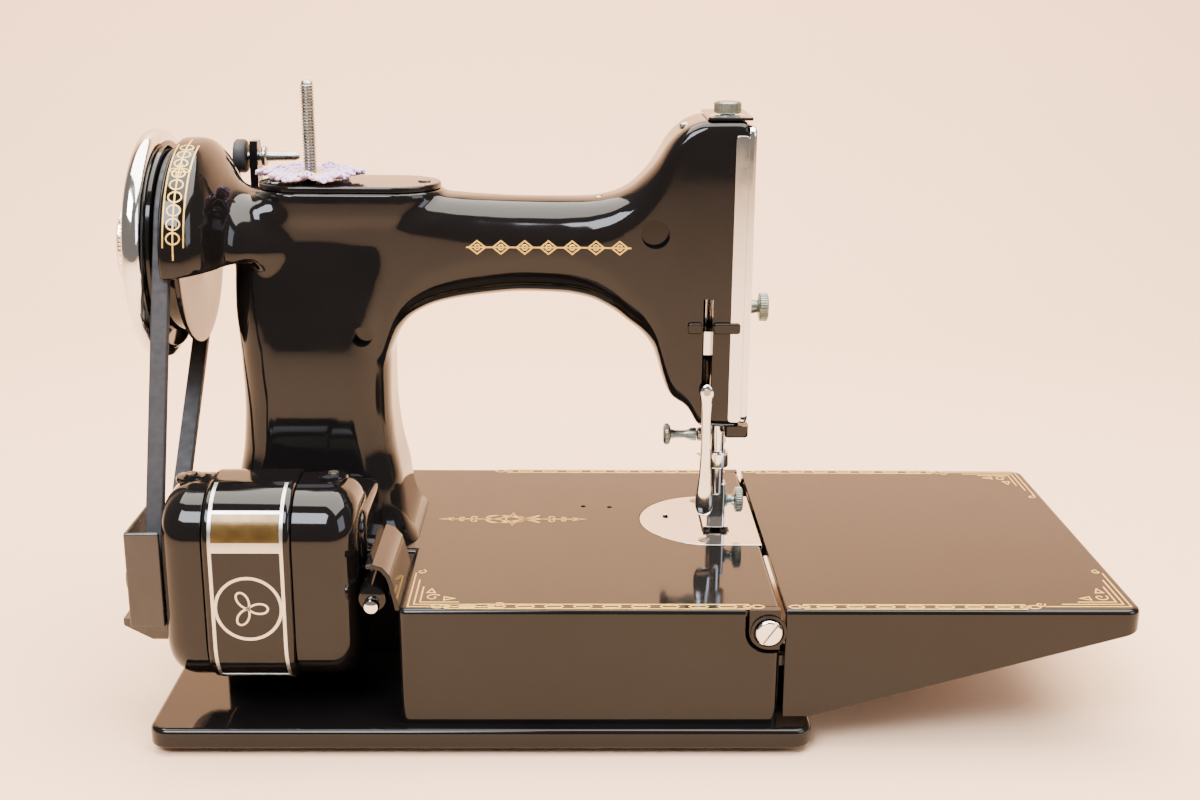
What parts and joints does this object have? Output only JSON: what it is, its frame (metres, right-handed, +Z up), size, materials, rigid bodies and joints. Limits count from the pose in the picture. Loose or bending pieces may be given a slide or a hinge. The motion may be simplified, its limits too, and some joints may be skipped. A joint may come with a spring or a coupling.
{
  "type": "portable sewing machine",
  "caption": "Portable lock-stitch sewing machine in black enamelled castings with a side motor, belt-driven handwheel, needle head and a folding bed leaf.",
  "frame": {"origin": "centre of the whole machine's footprint, on the surface it stands on, with the leaf down", "axes": "+X from the handwheel to the folding leaf, +Y from the motor side to the operator, +Z up"},
  "size_m": [0.4108, 0.181, 0.253],
  "materials": {
    "black_enamel": "high-gloss black stoving enamel with gold line decoration",
    "black_moulding": "satin black phenolic moulding",
    "chrome": "polished chrome plate",
    "steel": "turned and nickel-plated steel, lightly worn",
    "rubber": "matt black moulded rubber",
    "crochet_cotton": "crocheted lilac cotton with a yellow centre",
    "bulb_glass": "frosted lamp glass"
  },
  "bodies": {
    "root": {"bed_casting": "black_enamel", "arm_casting": "black_enamel", "drip_pan": "black_enamel", "drip_pan_screw": "steel", "rubber_foot_rear_left": "rubber", "rubber_foot_rear_right": "rubber", "rubber_foot_front_left": "rubber", "rubber_foot_front_right": "rubber", "throat_plate": "chrome", "leaf_bracket_rear": "black_enamel", "leaf_bracket_front": "black_enamel", "leaf_screw_rear": "chrome", "leaf_screw_front": "chrome", "arm_cover": "black_enamel", "spool_pin": "steel", "spool_mat": "crochet_cotton", "face_plate": "chrome", "tension_stud": "chrome", "stitch_plate": "chrome", "lamp_shade": "black_enamel", "lamp_bulb": "bulb_glass", "bobbin_case": "chrome", "motor_housing": "black_enamel", "motor_cap_left": "black_enamel", "motor_cap_right": "black_enamel", "drive_belt": "rubber", "belt_guard": "black_moulding", "power_inlet": "black_moulding", "winder_bracket": "black_enamel"},
    "handwheel": {"handwheel": "black_enamel", "arm_shaft": "steel", "arm_shaft_gear": "steel"},
    "clutch": {"clutch_knob": "chrome"},
    "motor_rotor": {"motor_rotor": "steel", "motor_pulley": "steel"},
    "vertical_drive": {"vertical_shaft": "steel", "vertical_upper_gear": "steel", "vertical_lower_gear": "steel"},
    "hook_drive": {"hook_shaft": "steel", "hook_shaft_gear": "steel", "rotating_hook": "chrome"},
    "bobbin": {"bobbin": "steel"},
    "needle_bar": {"needle_bar": "steel", "needle_clamp": "steel", "needle": "chrome"},
    "needle_clamp_screw": {"needle_clamp_screw": "steel"},
    "presser": {"presser_bar": "steel", "presser_foot": "chrome", "thread_cutter": "steel"},
    "presser_foot_screw": {"presser_foot_screw": "steel"},
    "presser_lifter": {"presser_lifter": "chrome"},
    "pressure_screw": {"pressure_screw": "steel"},
    "face_plate_screw": {"face_plate_screw": "steel"},
    "feed_dog": {"feed_dog": "steel"},
    "take_up": {"take_up_lever": "chrome"},
    "tension_dial": {"tension_dial": "steel"},
    "stitch_lever": {"stitch_lever": "steel"},
    "lamp_switch": {"lamp_switch": "steel"},
    "winder_spindle": {"winder_spindle": "steel"},
    "leaf": {"bed_leaf": "black_enamel"}
  },
  "joints": [
    {"name": "handwheel_turn", "type": "hinge", "parent": "root", "child": "handwheel", "pos_m": [-0.1814, 0.0145, 0.183], "axis": [1, 0, 0], "continuous": true},
    {"name": "clutch_turn", "type": "hinge", "parent": "handwheel", "child": "clutch", "pos_m": [-0.2014, 0.0145, 0.183], "axis": [1, 0, 0], "range_deg": [0, 90]},
    {"name": "motor_turn", "type": "hinge", "parent": "root", "child": "motor_rotor", "pos_m": [-0.1814, -0.0575, 0.0638], "axis": [1, 0, 0], "continuous": true},
    {"name": "vertical_turn", "type": "hinge", "parent": "root", "child": "vertical_drive", "pos_m": [-0.1234, 0.0145, 0.1], "axis": [0, 0, 1], "continuous": true},
    {"name": "hook_turn", "type": "hinge", "parent": "root", "child": "hook_drive", "pos_m": [-0.0814, 0.0145, 0.0395], "axis": [1, 0, 0], "continuous": true},
    {"name": "bobbin_turn", "type": "hinge", "parent": "root", "child": "bobbin", "pos_m": [0.0536, 0.0145, 0.0395], "axis": [1, 0, 0], "continuous": true},
    {"name": "needle_travel", "type": "slide", "parent": "root", "child": "needle_bar", "axis": [0, 0, 1], "range_m": [-0.024, 0.004]},
    {"name": "needle_clamp_screw_turn", "type": "hinge", "parent": "needle_bar", "child": "needle_clamp_screw", "pos_m": [0.0286, 0.0155, 0.0995], "axis": [1, 0, 0], "range_deg": [0, 360]},
    {"name": "presser_travel", "type": "slide", "parent": "root", "child": "presser", "axis": [0, 0, 1], "range_m": [0, 0.0065]},
    {"name": "presser_foot_screw_turn", "type": "hinge", "parent": "presser", "child": "presser_foot_screw", "pos_m": [0.0506, 0.0045, 0.0728], "axis": [1, 0, 0], "range_deg": [0, 360]},
    {"name": "lifter_swing", "type": "hinge", "parent": "root", "child": "presser_lifter", "pos_m": [0.0401, -0.0085, 0.1255], "axis": [0, 1, 0], "range_deg": [0, 80]},
    {"name": "pressure_screw_turn", "type": "hinge", "parent": "root", "child": "pressure_screw", "pos_m": [0.0466, 0.0035, 0.24], "axis": [0, 0, 1], "range_deg": [-360, 360]},
    {"name": "face_plate_screw_turn", "type": "hinge", "parent": "root", "child": "face_plate_screw", "pos_m": [0.0636, 0.0155, 0.1572], "axis": [1, 0, 0], "range_deg": [0, 360]},
    {"name": "feed_travel", "type": "slide", "parent": "root", "child": "feed_dog", "axis": [0, 1, 0], "range_m": [-0.0015, 0.0015]},
    {"name": "take_up_swing", "type": "hinge", "parent": "root", "child": "take_up", "pos_m": [0.0406, 0.0255, 0.19], "axis": [1, 0, 0], "range_deg": [-45, 10]},
    {"name": "tension_dial_turn", "type": "hinge", "parent": "root", "child": "tension_dial", "pos_m": [0.0406, 0.0495, 0.142], "axis": [0, 1, 0], "range_deg": [0, 330]},
    {"name": "stitch_lever_swing", "type": "hinge", "parent": "root", "child": "stitch_lever", "pos_m": [-0.1254, 0.0445, 0.122], "axis": [0, 1, 0], "range_deg": [-30, 30]},
    {"name": "lamp_switch_turn", "type": "hinge", "parent": "root", "child": "lamp_switch", "pos_m": [-0.1374, 0.0875, 0.04], "axis": [0, 1, 0], "range_deg": [0, 90]},
    {"name": "winder_turn", "type": "hinge", "parent": "root", "child": "winder_spindle", "pos_m": [-0.1564, 0.0535, 0.216], "axis": [1, 0, 0], "continuous": true},
    {"name": "leaf_fold", "type": "hinge", "parent": "root", "child": "leaf", "pos_m": [0.0788, 0, 0.0534], "axis": [0, -1, 0], "range_deg": [0, 90]}
  ],
  "couplings": [
    {"joint": "motor_turn", "follows": "handwheel_turn", "ratio": 3.2083},
    {"joint": "vertical_turn", "follows": "handwheel_turn", "ratio": -1},
    {"joint": "hook_turn", "follows": "handwheel_turn", "ratio": 2},
    {"joint": "lifter_swing", "follows": "presser_travel", "rad_per_m": 214.8}
  ]
}
